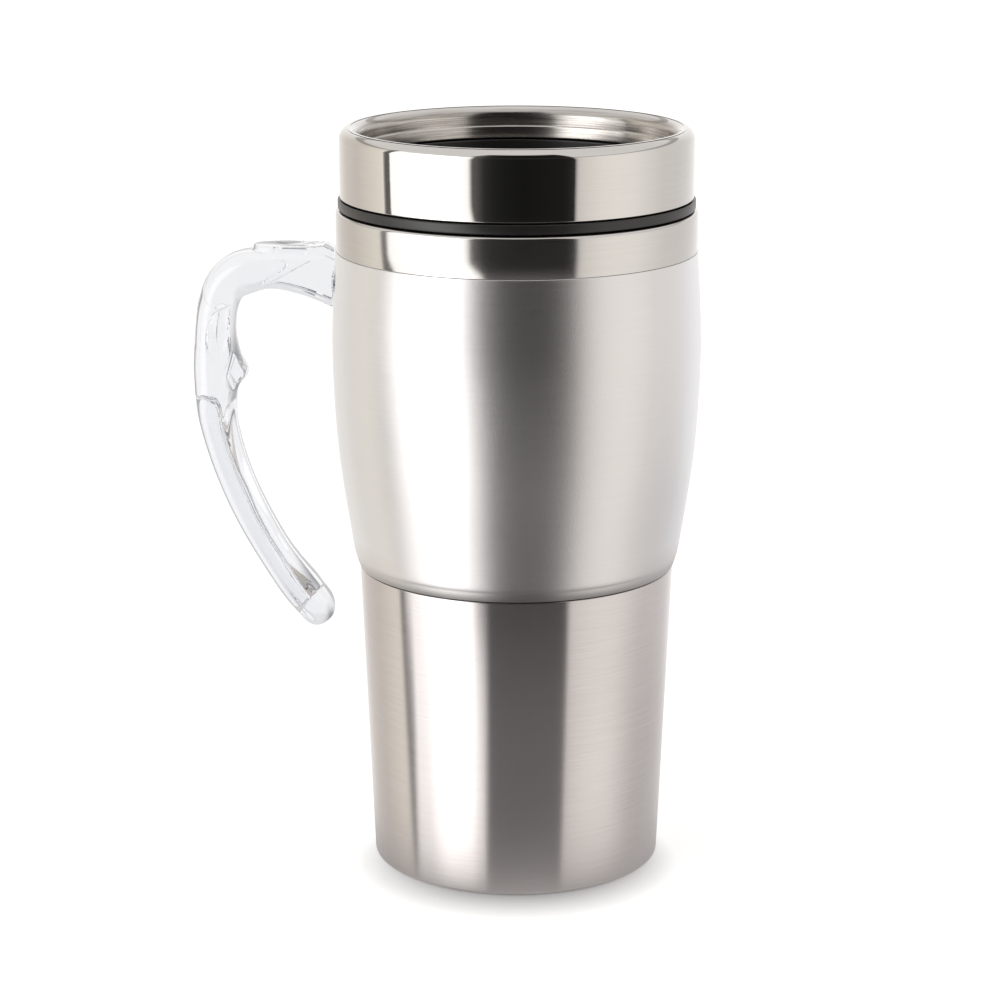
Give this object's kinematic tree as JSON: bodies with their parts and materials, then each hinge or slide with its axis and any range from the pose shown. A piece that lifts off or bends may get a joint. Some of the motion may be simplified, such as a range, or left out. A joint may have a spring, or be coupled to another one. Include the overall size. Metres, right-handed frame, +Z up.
{
  "type": "insulated travel mug",
  "caption": "Tall double-wall steel travel mug with a swollen barrel over a tapered base, a clear J-shaped handle and a press-on lid with a recessed sliding shutter.",
  "frame": {"origin": "centre of the flat underside, on the mug's axis, where it stands on a table", "axes": "+Z up along the mug's axis, -X out through the handle, +Y the way the lid's slider moves to open"},
  "size_m": [0.1185, 0.086, 0.1749],
  "materials": {
    "brushed_steel": "circumferentially brushed stainless steel",
    "satin_steel": "fine-blasted satin stainless steel",
    "polished_steel": "mirror-polished stainless steel",
    "inner_steel": "drawn stainless steel, lightly polished",
    "clear_plastic": "clear glossy moulded acrylic",
    "black_plastic": "black moulded polypropylene, half matt",
    "black_rubber": "matt black rubber",
    "silicone": "dark grey silicone",
    "foam": "closed-cell foam"
  },
  "bodies": {
    "mug": {"base_shell": "brushed_steel", "barrel_shell": "satin_steel", "joint_seal": "silicone", "collar_ring": "polished_steel", "rim_spacer": "black_plastic", "liner_cup": "inner_steel", "liner_pad": "foam", "base_disc": "brushed_steel", "base_pad": "black_rubber", "handle": "clear_plastic", "handle_backing_plate": "inner_steel", "handle_washer_front": "inner_steel", "handle_washer_rear": "inner_steel", "handle_screw_front": "inner_steel", "handle_screw_rear": "inner_steel"},
    "lid": {"lid_steel_ring": "polished_steel", "lid_body": "black_plastic", "lid_under_plate": "black_plastic", "lid_gasket": "silicone"},
    "slider": {"slider_plate": "black_plastic", "slider_seal": "silicone"}
  },
  "joints": [
    {"name": "lid_lift", "type": "slide", "parent": "mug", "child": "lid", "axis": [0, 0, 1], "range_m": [0, 0.05]},
    {"name": "slider_open", "type": "slide", "parent": "lid", "child": "slider", "axis": [0, 1, 0], "range_m": [0, 0.0125]}
  ]
}
